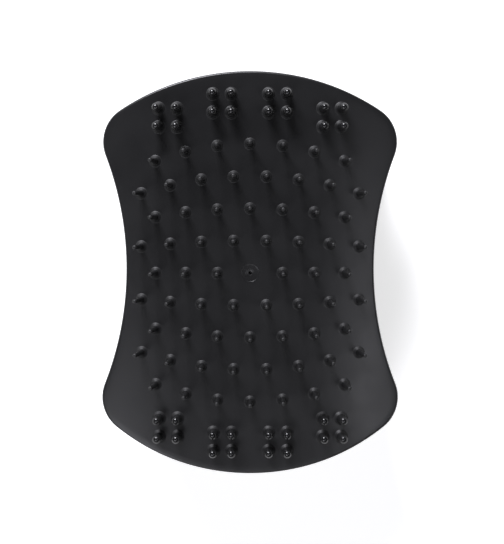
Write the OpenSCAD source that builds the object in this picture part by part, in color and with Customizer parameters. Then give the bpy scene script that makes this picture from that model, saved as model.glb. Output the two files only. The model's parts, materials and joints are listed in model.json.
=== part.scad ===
// Palm-held scalp massager brush with soft teeth.
// It lies on its back: the teeth point up (+Z), its length runs along Y, and Z = 0 is the flat of the back.
// Units are millimetres.

/* [Outline] */
// Length from end to end
length = 90; // [80:1:100]
// Width across the waist
waist_w = 55.5; // [52:0.1:58]
// How far the waist sits from the middle, towards +Y
waist_y = 1.1; // [0:0.1:1.5]
// Radius of the hollow sides
side_r = 70.4; // [65:0.1:80]
// Radius of the +Y end
top_end_r = 53.4; // [48:0.2:58]
// Radius of the -Y end
bottom_end_r = 49; // [46:0.2:58]
// Radius of the four corners
corner_r = 8.4; // [8.4:0.2:10]

/* [Tooth pad] */
// Height of the flat middle of the pad above the back
pad_z = 30; // [29:0.5:32]
// Half width of the pad's flat middle
crown_flat = 12; // [8:1:14]
// Radius by which the pad rolls off to each side
crown_r = 115; // [100:5:160]
// Thickness of the soft pad in the middle
pad_t = 3; // [2.8:0.1:3.2]
// Diameter of the dished gate mark in the middle
gate_d = 3.6; // [2.5:0.1:4]

/* [Cone teeth] */
// Distance between neighbouring columns in the middle
cone_pitch = 3.65; // [3.6:0.05:3.8]
// How much the columns draw together towards the sides, per column squared
side_pull = 0.001; // [0:0.0005:0.001]
// Distance between neighbouring rows
row_pitch = 7.2; // [7.2:0.1:7.6]
// How much the rows bow towards the middle at the sides, per square millimetre
row_bow = 0.0003; // [0:0.00005:0.0004]
// Height of a cone tooth
cone_h = 9; // [6:0.5:12]
// Radius at the root
cone_root_r = 1.15; // [1:0.05:1.3]
// Radius of the rounded tip
cone_tip_r = 0.45; // [0.3:0.05:0.6]

/* [Massage teeth] */
// Height of a massage tooth
massage_h = 5.8; // [4:0.2:7]
// Radius at the root
massage_root_r = 1.45; // [1.3:0.05:1.6]
// Radius of the ball tip
massage_tip_r = 0.95; // [0.8:0.05:1.1]
// Distance between the teeth of one cluster
cluster_pitch = 4.1; // [4:0.1:4.6]
// Distance of the inner clusters from the middle line
inner_cluster_x = 6.2; // [6:0.1:6.6]
// Distance of the outer clusters from the middle line
outer_cluster_x = 18.3; // [17.5:0.1:19]
// Distance of the inner clusters from the middle, along the length
inner_cluster_y = 37.8; // [37:0.1:38]
// Distance of the outer clusters from the middle, along the length
outer_cluster_y = 34.6; // [34:0.1:35]

/* [Shell] */
// Wall thickness of the hard shells
wall = 2; // [1.6:0.1:2.4]
// Height of the seam between back cover and grip
seam_z = 9; // [8:0.5:11]
// Height of the grip's upper edge, under the pad's rim
rim_z = 26; // [25.5:0.5:26]
// Depth of the finger groove at the sides
side_cove = 4.2; // [3:0.1:4.6]
// Depth of the finger groove at the ends
end_cove = 1.8; // [1:0.1:2.5]
// Size of the flat on the back, as a share of the outline
back_flat = 0.4; // [0.35:0.01:0.5]

/* [Hidden] */
cone_columns = [-7 : 7];
massage_columns = [-4, -3, -2, -1, 1, 2, 3, 4];

function side_name(k) = k == 0 ? "mid" : str(k < 0 ? "l" : "r", abs(k));
function cone_name(k) = str("cone_teeth_", side_name(k));
function massage_name(k) = str("massage_teeth_", side_name(k));

socket_gap = 0.08;      // radial clearance of a tooth's ball root in its socket
rim_step = 0.6;         // the pad's rim stands this far out over the grip
seam_inset = 3;         // the seam lies this far inside the outline
seam_bevel = 0.3;       // the two bevels make the seam's shadow groove
flat_cut = 0.05;        // the dome reaches this far below the flat that is cut across it
lip_h = 2;              // height of the back cover's lip inside the grip
lip_gap = 0.3;          // clearance of that lip, where the wall leans in towards it
lip_t = 1.2;            // thickness of that lip
carrier_inset = 3;      // edge of the carrier plate
carrier_gap = 0.1;      // clearance between the carrier's edge and the grip
carrier_t = 1.8;        // thickness of the carrier plate
flange_t = 2.5;         // width of the carrier's foot, which stands on the ledge
rib_t = 1.4;            // thickness of the carrier's ribs
rib_h = 2.6;            // height of the carrier's ribs
hook_catch = 0.8;       // how far a snap hook reaches under the ledge
hook_gap = 0.2;         // play of a hook under the ledge
ledge_inset = 6.5;      // inner edge of the grip's ledge, which the carrier stands on
ledge_z = 24;           // top of that ledge
ledge_t = 1.6;          // thickness of that ledge
key_r = 1.2;            // radius of the pad's keys through the carrier
key_gap = 0.05;         // clearance of a key in its hole
key_head_t = 1;         // thickness of a key's head behind the carrier
under_z = pad_z - pad_t;            // underside of the pad, and top of the carrier
plate_z = under_z - carrier_t;      // underside of the carrier plate
cone_row_max = 4;       // rows run from -4 to 4
groove_steps = 10;
dome_steps = 8;
arc_steps = 5;

end_steps = 8;
corner_steps = 6;
side_steps = 9;

// ---- Outline: points with their outward normals, so that any ring can be set in by any depth ----

// Centre of the corner arc that touches the side arc and the end arc
function corner_centre(half_l, end_r) =
    let (
        side_c = [waist_w / 2 + side_r, 0],
        end_c = [0, half_l - end_r],
        gap = end_c - side_c,
        d = norm(gap),
        a = side_r + corner_r,
        b = end_r - corner_r,
        along = (a * a - b * b + d * d) / (2 * d),
        across = sqrt(a * a - along * along)
    )
    side_c + along * gap / d + across * [gap.y, -gap.x] / d;

function bearing(v) = atan2(v.y, v.x);

// A quarter of the outline from the waist to the end: [x, y, normal x, normal y]
function quarter(half_l, end_r) =
    let (
        side_c = [waist_w / 2 + side_r, 0],
        end_c = [0, half_l - end_r],
        corner_c = corner_centre(half_l, end_r),
        side_a = bearing(corner_c - side_c),
        end_a = bearing(corner_c - end_c)
    )
    concat(
        [for (i = [0 : side_steps - 1])
            let (a = 180 + (side_a - 180) * i / side_steps, n = [cos(a), sin(a)], p = side_c + side_r * n)
            [p.x, p.y, -n.x, -n.y]],
        [for (i = [0 : corner_steps - 1])
            let (a = side_a - 180 + (end_a - side_a + 180) * i / corner_steps, n = [cos(a), sin(a)])
            concat(corner_c + corner_r * n, n)],
        [for (i = [0 : end_steps])
            let (a = end_a + (90 - end_a) * i / end_steps, n = [cos(a), sin(a)])
            concat(end_c + end_r * n, n)]
    );

function flip(p, fx, fy) = [fx * p.x, fy * p.y, fx * p[2], fy * p[3]];

// The whole outline, anticlockwise from the waist's +X side
function outline() =
    let (
        top = quarter(length / 2 - waist_y, top_end_r),
        bottom = quarter(length / 2 + waist_y, bottom_end_r),
        n = len(top) - 1,
        loop = concat(
            [for (i = [0 : n - 1]) flip(top[i], 1, 1)],
            [for (i = [n : -1 : 1]) flip(top[i], -1, 1)],
            [for (i = [0 : n - 1]) flip(bottom[i], -1, -1)],
            [for (i = [n : -1 : 1]) flip(bottom[i], 1, -1)]
        )
    )
    [for (p = loop) [p.x, p.y + waist_y, p[2], p[3]]];

rim = outline();
ring_n = len(rim);

// The outline as a flat shape, set in by a depth
module plate_shape(inset = 0) {
    polygon([for (p = rim) [p.x - inset * p[2], p.y - inset * p[3]]]);
}

// ---- Rings and lofts for the shells ----

function mix(a, b, t) = a + (b - a) * t;
function smooth(t) = t * t * (3 - 2 * t);

// Depth of the grip's outer face inside the outline, at height z, where the outline faces along normal_x
function grip_depth(z, normal_x) =
    let (
        u = (z - seam_z) / (rim_z - seam_z),
        cove = mix(end_cove, side_cove, normal_x * normal_x)
    )
    mix(seam_inset, rim_step, u) + cove * (1 - cos(360 * u)) / 2;

// One ring at height z, set in by a constant depth
function inset_ring(z, inset) = [for (p = rim) [p.x - inset * p[2], p.y - inset * p[3], z]];

// One ring that follows the grip's groove, set in by extra
function grip_ring(z, extra = 0) =
    [for (p = rim) let (d = grip_depth(z, p[2]) + extra) [p.x - d * p[2], p.y - d * p[3], z]];

// One ring of the back's dome: t = 0 at the seam, 1 at the flat; extra is the depth below its outer face
function dome_ring(t, extra = 0) =
    let (
        share = mix(back_flat, 1, cos(90 * t)),
        low_z = extra > 0 ? extra : -flat_cut,
        z = low_z + (seam_z - low_z) * (1 - sin(90 * t)),
        oval_a = waist_w / 2 + 1,
        oval_b = length / 2 - seam_inset,
        w = smooth(t)
    )
    [for (p = rim)
        let (
            q = [p.x, p.y] - (seam_inset + extra) * [p[2], p[3]],
            a = atan2(q.y / oval_b, q.x / oval_a),
            oval = [(oval_a - extra) * cos(a), (oval_b - extra) * sin(a)],
            r = share * mix(q, oval, w)
        )
        [r.x, r.y, z]];

// Triangles between ring i and ring j, facing out when ring j lies above ring i
function band(i, j) =
    [for (k = [0 : ring_n - 1])
        let (next = (k + 1) % ring_n, a = i * ring_n + k, b = i * ring_n + next,
             c = j * ring_n + next, d = j * ring_n + k)
        each [[a, c, b], [a, d, c]]];

// A tube whose rings run up its outside and down its inside
module ring_tube(rings) {
    n = len(rings);
    polyhedron(
        points = [for (r = rings) each r],
        faces = [for (i = [0 : n - 1]) each band(i, (i + 1) % n)]
    );
}

// A cup whose rings run from the middle of its inside, over its edge, to the middle of its outside
module ring_cup(rings) {
    n = len(rings);
    last = (n - 1) * ring_n;
    polyhedron(
        points = [for (r = rings) each r],
        faces = concat(
            [[for (k = [0 : ring_n - 1]) ring_n - 1 - k]],
            [for (i = [0 : n - 2]) each [for (f = band(i, i + 1)) [f[0], f[2], f[1]]]],
            [[for (k = [0 : ring_n - 1]) last + k]]
        )
    );
}

// ---- Shell pieces ----

module palm_cover() {
    lip_inset = seam_inset + wall + lip_gap;
    color("#262628")
    difference() {
        ring_cup(concat(
            [for (i = [dome_steps : -1 : 0]) dome_ring(i / dome_steps, wall + lip_t * (1 - i / dome_steps))],
            [inset_ring(seam_z + lip_h, lip_inset + lip_t)],
            [inset_ring(seam_z + lip_h, lip_inset)],
            [inset_ring(seam_z, lip_inset)],
            [inset_ring(seam_z, seam_inset + seam_bevel)],
            [for (i = [1 : dome_steps]) dome_ring(i / dome_steps)]
        ));
        translate([-waist_w / 2, -length / 2, -1]) cube([waist_w, length, 1]);
    }
}

module grip_body() {
    color("#2c2c2e")
    ring_tube(concat(
        [grip_ring(seam_z, seam_bevel)],
        [for (i = [0 : groove_steps]) grip_ring(mix(seam_z + seam_bevel, rim_z, i / groove_steps))],
        [inset_ring(rim_z, carrier_inset - carrier_gap)],
        [inset_ring(ledge_z, carrier_inset - carrier_gap)],
        [inset_ring(ledge_z, ledge_inset)],
        [inset_ring(ledge_z - ledge_t, ledge_inset)],
        [for (i = [0 : groove_steps]) grip_ring(mix(ledge_z - ledge_t, seam_z, i / groove_steps), wall)]
    ));
}

// Places of the pad's keys and of the carrier's holes for them
key_places = [for (x = [-16, 0, 16], y = [-26, -9, 9, 26]) [x, y]];

// One snap hook across the ledge: x = 0 is the ledge's inner edge, and +X runs outwards
module snap_hook(width) {
    catch_z = ledge_z - ledge_t - hook_gap;
    foot_z = ledge_z - 3.5;
    rotate([90, 0, 0])
    linear_extrude(height = width, center = true)
    polygon([
        [-2, plate_z + 0.5], [-2, foot_z], [-0.4, foot_z], [hook_catch, catch_z - 0.3],
        [hook_catch, catch_z], [-0.4, catch_z], [-0.4, plate_z + 0.5]
    ]);
}

module carrier_hooks() {
    for (side = [-1, 1], tilt = [-11, 11])
        translate([side * (waist_w / 2 + side_r), waist_y])
        rotate(side > 0 ? tilt : 180 - tilt)
        mirror([1, 0, 0])
        translate([side_r + ledge_inset, 0])
        mirror([1, 0, 0])
        snap_hook(6);
    for (end = [-1, 1])
        rotate(90 * end)
        translate([length / 2 - ledge_inset, 0])
        snap_hook(8);
}

module carrier_ribs() {
    for (x = [-8, 8])
        translate([x - rib_t / 2, -32, plate_z - rib_h]) cube([rib_t, 64, rib_h + 0.5]);
    for (y = [-32, -17, 0, 17, 32])
        translate([-18, y - rib_t / 2, plate_z - rib_h]) cube([36, rib_t, rib_h + 0.5]);
}

module pad_carrier() {
    color("#3a3a3d")
    difference() {
        union() {
            difference() {
                translate([0, 0, ledge_z])
                    linear_extrude(height = under_z - ledge_z) plate_shape(carrier_inset);
                translate([0, 0, ledge_z - 1])
                    linear_extrude(height = plate_z + 1 - ledge_z) plate_shape(carrier_inset + flange_t);
            }
            carrier_ribs();
            carrier_hooks();
        }
        for (p = key_places)
            translate([p.x, p.y, plate_z - 1])
            cylinder(h = carrier_t + 2, r = key_r + key_gap, $fn = 32);
    }
}

// ---- Tooth pad ----

// Height of the pad's face at x
function crown_z(x) =
    let (over = max(abs(x) - crown_flat, 0))
    pad_z - crown_r + sqrt(crown_r * crown_r - over * over);

// Slope of the pad's face at x, by which the teeth lean outwards
function crown_slope(x) = sign(x) * asin(max(abs(x) - crown_flat, 0) / crown_r);

function cone_x(k) = k * cone_pitch * (1 - side_pull * k * k);
function cone_y(k, row) = row * row_pitch * (1 - row_bow * cone_x(k) * cone_x(k));

// Rows of a column: every second row, so that neighbouring columns stand in the gaps
function cone_rows(k) =
    let (first = k % 2 == 0 ? -cone_row_max : 1 - cone_row_max)
    [for (row = [first : 2 : cone_row_max]) if (k != 0 || row != 0) row];

// Each massage column is one line of a cluster: 1 and 2 make the inner cluster, 3 and 4 the outer one
function massage_x(k) =
    let (cluster = abs(k) < 3 ? inner_cluster_x : outer_cluster_x, half = cluster_pitch / 2)
    sign(k) * (cluster + (abs(k) % 2 == 1 ? -half : half));
function massage_ys(k) =
    let (cluster = abs(k) < 3 ? inner_cluster_y : outer_cluster_y, half = cluster_pitch / 2)
    [for (end = [-1, 1], step = [-half, half]) end * cluster + step];

module sockets() {
    for (k = cone_columns, row = cone_rows(k))
        translate([cone_x(k), cone_y(k, row), crown_z(cone_x(k))])
        sphere(r = cone_root_r + socket_gap, $fn = 48);
    for (k = massage_columns, y = massage_ys(k))
        translate([massage_x(k), y, crown_z(massage_x(k))])
        sphere(r = massage_root_r + socket_gap, $fn = 48);
}

// The dished mark where the moulding was filled, with its small pit
module gate_mark() {
    dish_depth = 0.4;
    dish_r = (gate_d * gate_d / 4 + dish_depth * dish_depth) / (2 * dish_depth);
    translate([0, 0, pad_z - dish_depth + dish_r]) sphere(r = dish_r, $fn = 96);
    translate([0, 0, pad_z - dish_depth]) sphere(r = 0.35, $fn = 24);
}

// Crowned block, as wide as the pad, from the rim up to the pad's face
module crowned_block() {
    half_w = 36;
    crown_points = [for (x = [-half_w : 1.5 : half_w]) [x, crown_z(x)]];
    rotate([90, 0, 0])
    linear_extrude(height = length + 10, center = true)
    polygon(concat(crown_points, [[half_w, rim_z - 5], [-half_w, rim_z - 5]]));
}

// Soft keys that run through the carrier and spread behind it
module pad_keys() {
    for (p = key_places) {
        translate([p.x, p.y, plate_z]) cylinder(h = carrier_t + 0.5, r = key_r, $fn = 32);
        translate([p.x, p.y, plate_z - key_head_t]) cylinder(h = key_head_t, r = key_r + 0.8, $fn = 32);
    }
}

module bristle_pad() {
    color("#242426")
    union() {
        difference() {
            intersection() {
                translate([0, 0, rim_z]) linear_extrude(height = 10) plate_shape();
                crowned_block();
            }
            translate([0, 0, rim_z - 1])
                linear_extrude(height = under_z + 1 - rim_z) plate_shape(carrier_inset);
            sockets();
            gate_mark();
        }
        pad_keys();
    }
}

// ---- Teeth: a ball root that turns in its socket, and a taper that ends in a round tip ----

function arc_points(r, z, from, to) =
    [for (i = [0 : arc_steps]) let (a = mix(from, to, i / arc_steps)) [r * cos(a), z + r * sin(a)]];

module tooth(root_r, tip_r, height) {
    tip_z = height - tip_r;
    taper = asin((root_r - tip_r) / tip_z);
    rotate_extrude($fn = 32)
    polygon(concat(
        [[0, -root_r]],
        [for (p = arc_points(root_r, 0, -90, taper)) if (p.x > 0.01) p],
        [for (p = arc_points(tip_r, tip_z, taper, 90)) if (p.x > 0.01) p],
        [[0, height]]
    ));
}

module cone_teeth(k) {
    color("#2a2a2c")
    for (row = cone_rows(k))
        translate([cone_x(k), cone_y(k, row), crown_z(cone_x(k))])
        rotate([0, crown_slope(cone_x(k)), 0])
        tooth(cone_root_r, cone_tip_r, cone_h);
}

module massage_teeth(k) {
    color("#323234")
    for (y = massage_ys(k))
        translate([massage_x(k), y, crown_z(massage_x(k))])
        rotate([0, crown_slope(massage_x(k)), 0])
        tooth(massage_root_r, massage_tip_r, massage_h);
}

palm_cover();
grip_body();
pad_carrier();
bristle_pad();
for (k = cone_columns)
    cone_teeth(k);
for (k = massage_columns)
    massage_teeth(k);
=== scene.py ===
"""Palm-held scalp massager brush: the soft pad with its teeth, and the hard shells behind it.

The brush lies on its back: the teeth point up (+Z) and its length runs along Y. Sizes are in
millimetres where MM follows them, and everything that Blender gets is in metres.
"""

import json
import math

import bmesh
import bpy
from mathutils import Matrix, Vector


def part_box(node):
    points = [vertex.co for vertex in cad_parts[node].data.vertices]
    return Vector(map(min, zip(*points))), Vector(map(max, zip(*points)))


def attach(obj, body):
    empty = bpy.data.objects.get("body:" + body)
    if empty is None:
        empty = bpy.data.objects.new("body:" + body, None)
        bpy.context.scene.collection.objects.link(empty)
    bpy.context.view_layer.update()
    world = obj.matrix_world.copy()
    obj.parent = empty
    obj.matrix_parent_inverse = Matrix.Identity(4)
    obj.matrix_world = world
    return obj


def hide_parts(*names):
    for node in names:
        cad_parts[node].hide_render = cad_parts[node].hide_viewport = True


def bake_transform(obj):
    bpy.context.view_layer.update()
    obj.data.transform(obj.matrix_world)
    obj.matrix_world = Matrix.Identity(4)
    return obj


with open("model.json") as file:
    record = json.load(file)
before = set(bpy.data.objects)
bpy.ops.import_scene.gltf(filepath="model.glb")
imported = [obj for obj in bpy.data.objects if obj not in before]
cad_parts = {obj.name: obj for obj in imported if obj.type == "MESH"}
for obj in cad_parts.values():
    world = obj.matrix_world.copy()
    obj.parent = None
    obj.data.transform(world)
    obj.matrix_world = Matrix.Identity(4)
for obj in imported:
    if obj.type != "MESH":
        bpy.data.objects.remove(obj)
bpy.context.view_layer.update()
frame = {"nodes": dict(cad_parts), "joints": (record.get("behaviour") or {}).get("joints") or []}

MM = 0.001

# Heights and half length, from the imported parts
_, PAD_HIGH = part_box("bristle_pad")
GRIP_LOW, GRIP_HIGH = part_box("grip_body")
HALF_LENGTH = PAD_HIGH.y
PAD_Z = PAD_HIGH.z
RIM_Z = GRIP_HIGH.z
SEAM_Z = GRIP_LOW.z

# Outline
WAIST_W = 55.5 * MM
WAIST_Y = 1.1 * MM
SIDE_R = 70.4 * MM
TOP_END_R = 53.4 * MM
BOTTOM_END_R = 49 * MM
CORNER_R = 8.4 * MM

# Steps along each arc of a quarter outline. The corners take twice as many as in the CAD part, so
# that both reach equally far to the sides.
SIDE_STEPS = 20
CORNER_STEPS = 12
END_STEPS = 20

# Pad face and edge
CROWN_FLAT = 12 * MM
CROWN_R = 115 * MM
EDGE_R = 0.5 * MM
EDGE_STEPS = 8
PAD_FOOT_R = 0.12 * MM
PAD_UNDERCUT = 3 * MM
PAD_UNDERCUT_H = 0.9 * MM

# Insets, in millimetres, of the rings that follow the edge across the face. From the last one on
# they blend, by these shares, into a circle round the gate mark.
FACE_INSETS = (1.7, 2.4, 3.6, 5.6)
FACE_LAST_INSET = 8 * MM
FACE_CIRCLE_R = 3 * MM
FACE_BLENDS = (0, 0.18, 0.36, 0.54, 0.7, 0.84, 0.94)

# Radius and depth of the gate mark, in millimetres: a shallow round recess, a second step down and
# the pin hole in its middle
GATE_PROFILE = (
    (2.6, 0), (2.1, 0), (1.96, 0.001), (1.93, 0.008), (1.905, 0.021), (1.88, 0.035),
    (1.85, 0.042), (1.8, 0.044), (1.0, 0.046), (0.94, 0.05), (0.9, 0.06), (0.86, 0.066),
    (0.45, 0.068), (0.38, 0.1), (0.34, 0.25), (0.28, 0.8),
)

# Grip shell
SEAM_INSET = 3 * MM
SEAM_BEVEL = 0.3 * MM
RIM_STEP = 0.6 * MM
RIM_EDGE = 0.35 * MM
SOFT_EDGE = 0.1 * MM
SEAM_SOFT_INSET = 0.08 * MM
SIDE_COVE = 4.2 * MM
END_COVE = 1.8 * MM
GRIP_STEPS = 26
WALL = 2 * MM
RIM_LEDGE = 2.9 * MM
RIM_LEDGE_H = 2 * MM
INNER_TOP = 4 * MM
INNER_STEPS = 10

# Back shell. The flat it rests on is a share of its width; a ring inside the flat keeps it crisp.
BACK_FLAT = 0.4
BACK_FLAT_RING = 0.93
BACK_BULGE = 1 * MM
BACK_STEPS = 22
BACK_INNER_STEPS = 8
LIP_GAP = 0.3 * MM
LIP_W = 1.2 * MM
LIP_H = 2 * MM

# Where the teeth stand. Towards the sides the rows close up, by ROW_BOW times the square of the
# distance from the middle line in metres. Outer clusters stand nearer the waist than inner ones.
ROW_PITCH = 7.2 * MM
ROW_BOW = 300.0
ROWS_EACH_WAY = 4
CLUSTER_PITCH = 4.1 * MM
CLUSTER_Y = {"inner": 37.8 * MM, "outer": 34.6 * MM}
INNER_COLUMNS = 2

# Tooth roots: the hidden end under the pad's face, then a flare. Its slope eases in over the first
# share of its steps and turns up into the shaft over the last share, up to the steepest in radians.
TOOTH_SIDES = 28
SOCKET_DEPTH = 0.5 * MM
SOCKET_EDGE = 0.05 * MM
FLARE_STEPS = 12
FLARE_EASE = 0.25
FLARE_TURN = 0.2
FLARE_STEEPEST = 1.4

# Cone teeth. The socket has a bottom and a top radius, and the rings of the shaft stand at these
# shares of its height.
CONE_H = 9 * MM
CONE_SOCKET = (1.3 * MM, 1.48 * MM)
CONE_FOOT_R = 1.38 * MM
CONE_FLARE = math.radians(39)
CONE_NECK_R = 0.6 * MM
CONE_SHAFT = (0.06, 0.15, 0.3, 0.45, 0.6, 0.75, 0.9)
CONE_TIP_R = 0.43 * MM
CONE_TIP_H = 0.22 * MM

# Massage teeth
MASSAGE_H = 5.8 * MM
MASSAGE_SOCKET = (1.45 * MM, 1.6 * MM)
MASSAGE_FOOT_R = 1.55 * MM
MASSAGE_FLARE = math.radians(40)
MASSAGE_NECK_R = 0.88 * MM
MASSAGE_SHAFT = (0.1, 0.25, 0.5, 0.75, 0.92)
MASSAGE_SHAFT_CURVE = 0.8
MASSAGE_BALL_R = 0.95 * MM
MASSAGE_BALL_START = math.radians(-32)
MASSAGE_BALL_STEPS = 14

# Refractive indices
TPE_IOR = 1.5
ABS_IOR = 1.54
BOARD_IOR = 1.5

# Stage: radius and height of the round paper floor, which sweeps up at its rim, in metres
PAPER_SWEEP = ((0, 0), (1.5, 0), (3, 0), (3.4, 0.03), (3.75, 0.15), (4, 0.4), (4.1, 0.8))

# Soft boxes: name, bearing and elevation in degrees, distance and size in metres, power in watts
LIGHTS = (
    ("key", 109, 36, 0.8, 0.3, 9.0),
    ("right", -20, 67, 0.8, 0.2, 0.42),
    ("left_foot", 228, 54, 0.8, 0.35, 1.7),
    ("foot", 268, 57, 0.8, 0.35, 0.6),
)
LIGHT_COLOUR = "#f8f8ff"
WORLD_STRENGTH = 0.02
BOARD_GLOW = 0.65

# Camera
CAMERA_DISTANCE = 360 * MM
CAMERA_TILT = math.radians(2.04)
CAMERA_AIM = Vector((0.43 * MM, 0.24 * MM, PAD_Z))
LENS_MM = 106.7
SENSOR_MM = 36
CLIP_START = 0.01


# ---- Outline: points and their outward normals ----

def arc(centre, radius, start, end, steps, hollow=False):
    """Points along an arc, each with the outline's outward normal there."""
    points = []
    for i in range(steps):
        angle = start + (end - start) * i / steps
        spoke = Vector((math.cos(angle), math.sin(angle)))
        points.append((centre + radius * spoke, -spoke if hollow else spoke))
    return points


def quarter(half_length, end_r):
    """A quarter of the outline from the waist to the middle of an end."""
    side_c = Vector((WAIST_W / 2 + SIDE_R, 0))
    end_c = Vector((0, half_length - end_r))
    gap = end_c - side_c
    a, b, d = SIDE_R + CORNER_R, end_r - CORNER_R, gap.length
    along = (a * a - b * b + d * d) / (2 * d)
    across = math.sqrt(a * a - along * along)
    corner_c = side_c + along * gap / d + across * Vector((gap.y, -gap.x)) / d
    side_a = math.atan2(corner_c.y - side_c.y, corner_c.x - side_c.x)
    end_a = math.atan2(corner_c.y - end_c.y, corner_c.x - end_c.x)
    top = (end_c + Vector((0, end_r)), Vector((0, 1)))
    return (
        arc(side_c, SIDE_R, math.pi, side_a, SIDE_STEPS, hollow=True)
        + arc(corner_c, CORNER_R, side_a - math.pi, end_a, CORNER_STEPS)
        + arc(end_c, end_r, end_a, math.pi / 2, END_STEPS)
        + [top]
    )


def outline():
    """The whole outline, anticlockwise from the waist's +X side."""
    top = quarter(HALF_LENGTH - WAIST_Y, TOP_END_R)
    bottom = quarter(HALF_LENGTH + WAIST_Y, BOTTOM_END_R)
    runs = (
        (top[:-1], 1, 1),
        (top[:0:-1], -1, 1),
        (bottom[:-1], -1, -1),
        (bottom[:0:-1], 1, -1),
    )
    points = []
    for run, flip_x, flip_y in runs:
        flip = Vector((flip_x, flip_y))
        points += [(p * flip + Vector((0, WAIST_Y)), n * flip) for p, n in run]
    return points


RIM = outline()


# ---- Mesh helpers ----

def mix(a, b, t):
    return a + (b - a) * t


def smooth_step(t):
    return t * t * (3 - 2 * t)


def new_piece(name, mesh):
    """Closes a bmesh into a smooth-shaded object at the origin."""
    bmesh.ops.remove_doubles(mesh, verts=mesh.verts, dist=0.001 * MM)
    bmesh.ops.recalc_face_normals(mesh, faces=mesh.faces)
    for face in mesh.faces:
        face.smooth = True
    data = bpy.data.meshes.new(name)
    mesh.to_mesh(data)
    mesh.free()
    piece = bpy.data.objects.new(name, data)
    bpy.context.scene.collection.objects.link(piece)
    return piece


def loft(mesh, rings, closed=False):
    """Carries one loop of edges through rings of equally many points; returns the end loops."""
    verts = [mesh.verts.new(p) for p in rings[0]]
    edges = [mesh.edges.new((a, b)) for a, b in zip(verts, verts[1:] + verts[:1])]
    first = list(edges)
    for ring in rings[1:] + ([rings[0]] if closed else []):
        grown = bmesh.ops.extrude_edge_only(mesh, edges=edges)["geom"]
        moved = {}
        for vert in (g for g in grown if isinstance(g, bmesh.types.BMVert)):
            old = next(e.other_vert(vert) for e in vert.link_edges if e.other_vert(vert) in verts)
            moved[old] = vert
        for old, point in zip(verts, ring):
            moved[old].co = point
        verts = [moved[old] for old in verts]
        edges = [e for e in grown if isinstance(e, bmesh.types.BMEdge)]
    return first, edges


def lathe(mesh, profile, place):
    """Turns a profile of (radius, height) into a closed round solid, then puts it in place."""
    verts = [mesh.verts.new((r, 0, z)) for r, z in profile]
    edges = [mesh.edges.new(pair) for pair in zip(verts, verts[1:])]
    bmesh.ops.spin(
        mesh, geom=verts + edges, cent=(0, 0, 0), axis=(0, 0, 1), angle=math.tau,
        steps=TOOTH_SIDES, use_merge=True, use_duplicate=False,
    )
    linked = set(verts)
    queue = list(verts)
    while queue:
        for edge in queue.pop().link_edges:
            for vert in edge.verts:
                if vert not in linked:
                    linked.add(vert)
                    queue.append(vert)
    bmesh.ops.transform(mesh, matrix=place, verts=list(linked))


def root_socket(bottom_r, top_r):
    """The hidden end of a tooth, from its middle out to just under its foot."""
    return [(0, -SOCKET_DEPTH), (bottom_r, -SOCKET_DEPTH), (top_r, -SOCKET_EDGE)]


def root_flare(foot_r, neck_r, slope):
    """A short cone that leaves the pad gently at foot_r and turns up into the shaft at neck_r."""
    step = (foot_r - neck_r) / FLARE_STEPS
    points = [(foot_r, 0)]
    for i in range(1, FLARE_STEPS + 1):
        t = i / FLARE_STEPS
        turn = max(0, (t - (1 - FLARE_TURN)) / FLARE_TURN) ** 2
        angle = slope * min(1, t / FLARE_EASE) + (math.pi / 2 - slope) * turn
        rise = step * math.tan(min(angle, FLARE_STEEPEST))
        points.append((foot_r - step * i, points[-1][1] + rise))
    return points


def dome(radius, height, centre_z, start, steps=8):
    """A round tip of a height of its own, from the angle start up to its pole."""
    return [
        (radius * math.cos(angle), centre_z + height * math.sin(angle))
        for angle in (mix(start, math.pi / 2, i / steps) for i in range(steps + 1))
    ]


# ---- Soft pad ----

def crown_z(x):
    """Height of the pad's face: flat in the middle, rolling off to each side."""
    over = max(abs(x) - CROWN_FLAT, 0)
    return PAD_Z - CROWN_R + math.sqrt(CROWN_R * CROWN_R - over * over)


def crown_lean(x):
    """Angle by which a tooth at x leans outwards."""
    return math.copysign(math.asin(max(abs(x) - CROWN_FLAT, 0) / CROWN_R), x)


def inset_ring(inset, z):
    """The outline moved inwards, level at z."""
    return [Vector((p.x - inset * n.x, p.y - inset * n.y, z)) for p, n in RIM]


def face_ring(inset, drop=0.0):
    """A ring on the pad's face, or below it by drop."""
    ring = inset_ring(inset, 0)
    for point in ring:
        point.z = crown_z(point.x) - drop
    return ring


def gate_ring(radius, depth):
    """A ring of the round gate mark in the middle of the pad."""
    return [
        Vector((p.x, p.y, 0)).normalized() * radius + Vector((0, 0, PAD_Z - depth))
        for p, _ in RIM
    ]


def soft_pad():
    """The crowned pad with its rolled edge and the shallow gate mark."""
    rolled = []
    for i in range(EDGE_STEPS + 1):
        angle = math.pi / 2 * i / EDGE_STEPS
        rolled.append(face_ring(EDGE_R * (1 - math.sin(angle)), EDGE_R * (1 - math.cos(angle))))
    last_inset = face_ring(FACE_LAST_INSET)
    circle = gate_ring(FACE_CIRCLE_R, 0)
    blended = [[mix(a, b, t) for a, b in zip(last_inset, circle)] for t in FACE_BLENDS]
    for ring in blended:
        for point in ring:
            point.z = crown_z(point.x)
    rings = (
        [inset_ring(PAD_UNDERCUT, RIM_Z + PAD_UNDERCUT_H), inset_ring(PAD_UNDERCUT, RIM_Z)]
        + [inset_ring(PAD_FOOT_R, RIM_Z), inset_ring(0, RIM_Z + PAD_FOOT_R)]
        + rolled[::-1]
        + [face_ring(inset * MM) for inset in FACE_INSETS]
        + blended
        + [gate_ring(radius * MM, depth * MM) for radius, depth in GATE_PROFILE]
    )
    mesh = bmesh.new()
    under_loop, pit_loop = loft(mesh, rings)
    bmesh.ops.edgeloop_fill(mesh, edges=under_loop)
    bmesh.ops.edgeloop_fill(mesh, edges=pit_loop)
    return new_piece("soft_pad", mesh)


# ---- Soft teeth ----

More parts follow.
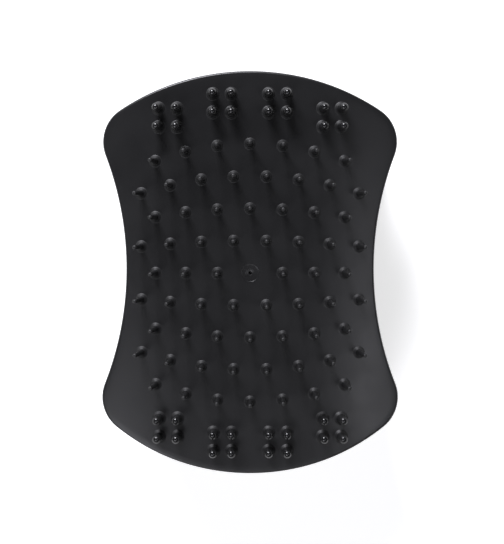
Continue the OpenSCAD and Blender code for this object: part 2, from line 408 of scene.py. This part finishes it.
def cone_profile():
    """A tapered tooth: flared root, straight taper, small round tip."""
    foot = root_flare(CONE_FOOT_R, CONE_NECK_R, CONE_FLARE)
    root_h, shoulder_h = foot[-1][1], CONE_H - CONE_TIP_H
    shaft = [(mix(CONE_NECK_R, CONE_TIP_R, t), mix(root_h, shoulder_h, t)) for t in CONE_SHAFT]
    return root_socket(*CONE_SOCKET) + foot + shaft + dome(CONE_TIP_R, CONE_TIP_H, shoulder_h, 0)


def massage_profile():
    """A short stout tooth: flared root, waisted neck, ball tip."""
    foot = root_flare(MASSAGE_FOOT_R, MASSAGE_NECK_R, MASSAGE_FLARE)
    root_h, ball_z = foot[-1][1], MASSAGE_H - MASSAGE_BALL_R
    waist_r = MASSAGE_BALL_R * math.cos(MASSAGE_BALL_START)
    waist_z = ball_z + MASSAGE_BALL_R * math.sin(MASSAGE_BALL_START)
    shaft = [
        (mix(MASSAGE_NECK_R, waist_r, t ** MASSAGE_SHAFT_CURVE), mix(root_h, waist_z, t))
        for t in MASSAGE_SHAFT
    ]
    ball = dome(MASSAGE_BALL_R, MASSAGE_BALL_R, ball_z, MASSAGE_BALL_START, MASSAGE_BALL_STEPS)
    return root_socket(*MASSAGE_SOCKET) + foot + shaft + ball


def column_places(joint):
    """Where the teeth of a joint's column stand: their feet on the pad, leaning with its face.

    Cone teeth stand on every other row, and the gate mark takes the place of the middle one.
    """
    side = joint["child"].rsplit("_", 1)[1]
    k = 0 if side == "mid" else int(side[1:]) * (-1 if side[0] == "l" else 1)
    x = joint["pos_m"][0]
    if joint["child"].startswith("cone"):
        rows = [
            row for row in range(-ROWS_EACH_WAY, ROWS_EACH_WAY + 1)
            if (row - k) % 2 == 0 and (k, row) != (0, 0)
        ]
        ys = [row * ROW_PITCH * (1 - ROW_BOW * x * x) for row in rows]
    else:
        middle = CLUSTER_Y["inner" if abs(k) <= INNER_COLUMNS else "outer"]
        steps = (-CLUSTER_PITCH / 2, CLUSTER_PITCH / 2)
        ys = [end * middle + step for end in (-1, 1) for step in steps]
    lean = Matrix.Rotation(crown_lean(x), 4, "Y")
    return [Matrix.Translation((x, y, crown_z(x))) @ lean for y in ys]


def tooth_column(joint):
    """One straight column of teeth, each leaning with the pad's face."""
    cones = joint["child"].startswith("cone")
    profile = cone_profile() if cones else massage_profile()
    mesh = bmesh.new()
    for place in column_places(joint):
        lathe(mesh, profile, place)
    node = joint["child"].replace("_column_", "_teeth_")
    piece = new_piece("soft_" + node, mesh)
    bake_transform(piece)
    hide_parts(node)
    piece.data.materials.append(MATERIALS["cone_tooth" if cones else "massage_tooth"])
    return piece


# ---- Hard shells ----

def grip_inset(z, normal_x):
    """Depth of the grip's outer face inside the outline, with the finger groove."""
    u = (z - SEAM_Z) / (RIM_Z - SEAM_Z)
    cove = mix(END_COVE, SIDE_COVE, normal_x * normal_x)
    return mix(SEAM_INSET, RIM_STEP, u) + cove * (1 - math.cos(math.tau * u)) / 2


def grip_ring(z, extra=0.0):
    """A ring of the grip at z, deeper than its outer face by extra."""
    ring = []
    for p, n in RIM:
        inset = grip_inset(z, n.x) + extra
        ring.append(Vector((p.x - inset * n.x, p.y - inset * n.y, z)))
    return ring


def grip_shell():
    """The waisted shell between the pad and the back cover."""
    low, high = SEAM_Z + SEAM_BEVEL, RIM_Z - RIM_EDGE
    outer = [grip_ring(mix(low, high, i / GRIP_STEPS)) for i in range(GRIP_STEPS + 1)]
    inner = [
        grip_ring(mix(RIM_Z - INNER_TOP, SEAM_Z, i / INNER_STEPS), WALL)
        for i in range(INNER_STEPS + 1)
    ]
    rings = (
        [grip_ring(SEAM_Z, SEAM_BEVEL), grip_ring(SEAM_Z + SOFT_EDGE, SEAM_SOFT_INSET)]
        + outer
        + [grip_ring(RIM_Z - SOFT_EDGE, SOFT_EDGE), grip_ring(RIM_Z, RIM_EDGE)]
        + [inset_ring(RIM_LEDGE, RIM_Z), inset_ring(RIM_LEDGE, RIM_Z - RIM_LEDGE_H)]
        + inner
    )
    mesh = bmesh.new()
    loft(mesh, rings, closed=True)
    return new_piece("grip_shell", mesh)


def dome_ring(t, extra=0.0):
    """A ring of the back, inside its outer face by extra: t is 0 at the seam and 1 at the flat."""
    share = mix(BACK_FLAT, 1, math.cos(math.pi / 2 * t))
    z = extra + (SEAM_Z - extra) * (1 - math.sin(math.pi / 2 * t))
    half_w, half_l = WAIST_W / 2 + BACK_BULGE, HALF_LENGTH - SEAM_INSET
    ring = []
    for p, n in RIM:
        q = p - n * (SEAM_INSET + extra)
        angle = math.atan2(q.y / half_l, q.x / half_w)
        oval = Vector(((half_w - extra) * math.cos(angle), (half_l - extra) * math.sin(angle)))
        point = share * mix(q, oval, smooth_step(t))
        ring.append(Vector((point.x, point.y, z)))
    return ring


def back_shell():
    """The domed back cover, which rests in the palm."""
    lip = SEAM_INSET + WALL + LIP_GAP
    share = BACK_FLAT_RING
    rings = (
        [dome_ring(i / BACK_INNER_STEPS, WALL) for i in range(BACK_INNER_STEPS, 0, -1)]
        + [inset_ring(lip + LIP_W, SEAM_Z + LIP_H), inset_ring(lip, SEAM_Z + LIP_H)]
        + [inset_ring(lip, SEAM_Z), inset_ring(SEAM_INSET + SEAM_BEVEL, SEAM_Z)]
        + [inset_ring(SEAM_INSET + SEAM_SOFT_INSET, SEAM_Z - SOFT_EDGE)]
        + [dome_ring(i / BACK_STEPS) for i in range(1, BACK_STEPS + 1)]
        + [[Vector((share * p.x, share * p.y, 0)) for p in dome_ring(1)]]
    )
    mesh = bmesh.new()
    inside, flat = loft(mesh, rings)
    bmesh.ops.edgeloop_fill(mesh, edges=inside)
    bmesh.ops.edgeloop_fill(mesh, edges=flat)
    return new_piece("back_shell", mesh)


# ---- Materials ----

def linear(colour):
    """An sRGB hex colour as the linear values that a shader takes."""
    parts = [int(colour[i : i + 2], 16) / 255 for i in (1, 3, 5)]
    return [c / 12.92 if c <= 0.04045 else ((c + 0.055) / 1.055) ** 2.4 for c in parts] + [1]


def add(tree, kind, settings=(), links=()):
    """Adds a node.

    Settings are its properties or inputs by name, links its inputs by name from (node, output).
    """
    node = tree.nodes.new(kind)
    for name, value in dict(settings).items():
        if hasattr(node, name):
            setattr(node, name, value)
        else:
            node.inputs[name].default_value = value
    for name, (source, output) in dict(links).items():
        tree.links.new(source.outputs[output], node.inputs[name])
    return node


def start_material(name, colour, roughness, ior):
    """A new material with plain values; returns the material, its tree, shader and coordinates."""
    material = bpy.data.materials.new(name)
    material.use_nodes = True
    tree = material.node_tree
    shader = tree.nodes["Principled BSDF"]
    shader.inputs["Base Color"].default_value = linear(colour)
    shader.inputs["Roughness"].default_value = roughness
    shader.inputs["IOR"].default_value = ior
    place = add(tree, "ShaderNodeTexCoord")
    return material, tree, shader, place


def per_metre(size_mm):
    """The scale of a noise whose features are about this many millimetres across."""
    return 1 / (size_mm * MM)


def grain(tree, shader, place, size_mm, height_mm, strength):
    """Fine relief that the eroded mould leaves on a plastic face."""
    noise = add(
        tree, "ShaderNodeTexNoise",
        {"Scale": per_metre(size_mm), "Detail": 3.0, "Roughness": 0.6},
        {"Vector": (place, "Object")},
    )
    bump = add(
        tree, "ShaderNodeBump",
        {"Strength": strength, "Distance": height_mm * MM},
        {"Height": (noise, "Fac")},
    )
    tree.links.new(bump.outputs["Normal"], shader.inputs["Normal"])


def cloudy(tree, socket, place, size_mm, low, high):
    """Slow change of a value over the surface, as handling and mould polish leave it."""
    noise = add(
        tree, "ShaderNodeTexNoise",
        {"Scale": per_metre(size_mm), "Detail": 2.0},
        {"Vector": (place, "Object")},
    )
    spread = add(
        tree, "ShaderNodeMapRange",
        {"From Min": 0.3, "From Max": 0.7, "To Min": low, "To Max": high},
        {"Value": (noise, "Fac")},
    )
    tree.links.new(spread.outputs["Result"], socket)


def tpe_pad():
    """Thermoplastic elastomer: soft black, with one broad silky sheen across the face."""
    material, tree, shader, place = start_material("matte_tpe", "#181819", 0.3, TPE_IOR)
    cloudy(tree, shader.inputs["Roughness"], place, 9, 0.28, 0.33)
    grain(tree, shader, place, 0.22, 0.01, 0.35)
    return material


def tpe_cone():
    """The same elastomer, duller on the teeth: each catches only a soft line of light."""
    material, tree, shader, place = start_material("satin_tpe", "#161617", 0.5, TPE_IOR)
    cloudy(tree, shader.inputs["Roughness"], place, 3, 0.47, 0.53)
    grain(tree, shader, place, 0.3, 0.006, 0.2)
    return material


def tpe_massage():
    """Elastomer that turns glossy at the polished ball tips, which hold small sharp highlights."""
    material, tree, shader, place = start_material("polished_tpe", "#161617", 0.3, TPE_IOR)
    satin_h, polished_h = PAD_Z + 5 * MM, PAD_Z + 5.55 * MM
    satin, polished = 0.5, 0.13
    height = add(tree, "ShaderNodeSeparateXYZ", links={"Vector": (place, "Object")})
    polish = add(
        tree, "ShaderNodeMapRange",
        {"From Min": satin_h, "From Max": polished_h, "To Min": satin, "To Max": polished},
        {"Value": (height, "Z")},
    )
    tree.links.new(polish.outputs["Result"], shader.inputs["Roughness"])
    return material


def abs_grip():
    """ABS with a fine spark-eroded texture: dry and matte in the hand."""
    material, tree, shader, place = start_material("textured_abs", "#232325", 0.48, ABS_IOR)
    cloudy(tree, shader.inputs["Roughness"], place, 14, 0.44, 0.52)
    grain(tree, shader, place, 0.35, 0.02, 0.5)
    return material


def abs_back():
    """ABS from a finer mould face: satin black with a broad soft highlight over the dome."""
    material, tree, shader, place = start_material("satin_abs", "#202022", 0.34, ABS_IOR)
    cloudy(tree, shader.inputs["Roughness"], place, 18, 0.3, 0.38)
    grain(tree, shader, place, 0.25, 0.008, 0.3)
    return material


def abs_carrier():
    """Plain unpainted ABS, as inner parts are left: dark grey with faint flow marks."""
    material, tree, shader, place = start_material("plain_abs", "#39393c", 0.45, ABS_IOR)
    cloudy(tree, shader.inputs["Roughness"], place, 6, 0.38, 0.52)
    grain(tree, shader, place, 0.8, 0.02, 0.2)
    return material


def studio_floor():
    """Matte white board. A glow of its own stands in for even room light and keeps it clean."""
    material, tree, shader, place = start_material("white_board", "#f4f4f4", 0.9, BOARD_IOR)
    shader.inputs["Emission Color"].default_value = linear("#ffffff")
    shader.inputs["Emission Strength"].default_value = BOARD_GLOW
    cloudy(tree, shader.inputs["Roughness"], place, 60, 0.85, 0.95)
    return material


# ---- Stage ----

def soft_light(name, bearing, elevation, distance, size, power):
    """A square soft box that looks at the pad. Bearing is in degrees from +X towards +Y."""
    light = bpy.data.lights.new(name, "AREA")
    light.shape = "SQUARE"
    light.size = size
    light.energy = power
    light.color = linear(LIGHT_COLOUR)[:3]
    lamp = bpy.data.objects.new(name, light)
    turn, rise = math.radians(bearing), math.radians(elevation)
    flat = math.cos(rise)
    towards = Vector((math.cos(turn) * flat, math.sin(turn) * flat, math.sin(rise)))
    lamp.location = Vector((0, 0, PAD_Z)) + distance * towards
    lamp.rotation_euler = towards.to_track_quat("Z", "Y").to_euler()
    bpy.context.scene.collection.objects.link(lamp)


def stage():
    """Floor, lights and the dim room around them."""
    mesh = bmesh.new()
    lathe(mesh, PAPER_SWEEP, Matrix.Identity(4))
    floor = new_piece("floor", mesh)
    floor.data.materials.append(studio_floor())
    for name, bearing, elevation, distance, size, power in LIGHTS:
        soft_light(name, bearing, elevation, distance, size, power)
    world = bpy.data.worlds.new("studio")
    world.use_nodes = True
    background = world.node_tree.nodes["Background"]
    background.inputs["Color"].default_value = linear("#ffffff")
    background.inputs["Strength"].default_value = WORLD_STRENGTH
    bpy.context.scene.world = world
    bpy.context.scene.view_settings.view_transform = "Standard"


def camera():
    """Above the pad, a little towards the +Y end, looking down near the pad's middle."""
    lens = bpy.data.cameras.new("camera")
    lens.sensor_fit = "VERTICAL"
    lens.sensor_height = SENSOR_MM
    lens.lens = LENS_MM
    lens.clip_start = CLIP_START
    eye = bpy.data.objects.new("camera", lens)
    towards = Vector((0, math.sin(CAMERA_TILT), math.cos(CAMERA_TILT)))
    eye.location = CAMERA_AIM + CAMERA_DISTANCE * towards
    eye.rotation_euler = (-CAMERA_TILT, 0, 0)
    bpy.context.scene.collection.objects.link(eye)
    bpy.context.scene.camera = eye


# ---- Assembly ----

MATERIALS = {"cone_tooth": tpe_cone(), "massage_tooth": tpe_massage()}

camera()
stage()

for make, node, slot, material in (
    (soft_pad, "bristle_pad", "soft_pad", tpe_pad()),
    (grip_shell, "grip_body", "grip_shell", abs_grip()),
    (back_shell, "palm_cover", "back_shell", abs_back()),
):
    piece = make()
    piece.data.materials.append(material)
    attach(piece, "handle")
    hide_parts(node)

for joint in frame["joints"]:
    tooth_column(joint)

carrier = frame["nodes"]["pad_carrier"]
carrier.data.materials.clear()
carrier.data.materials.append(abs_carrier())
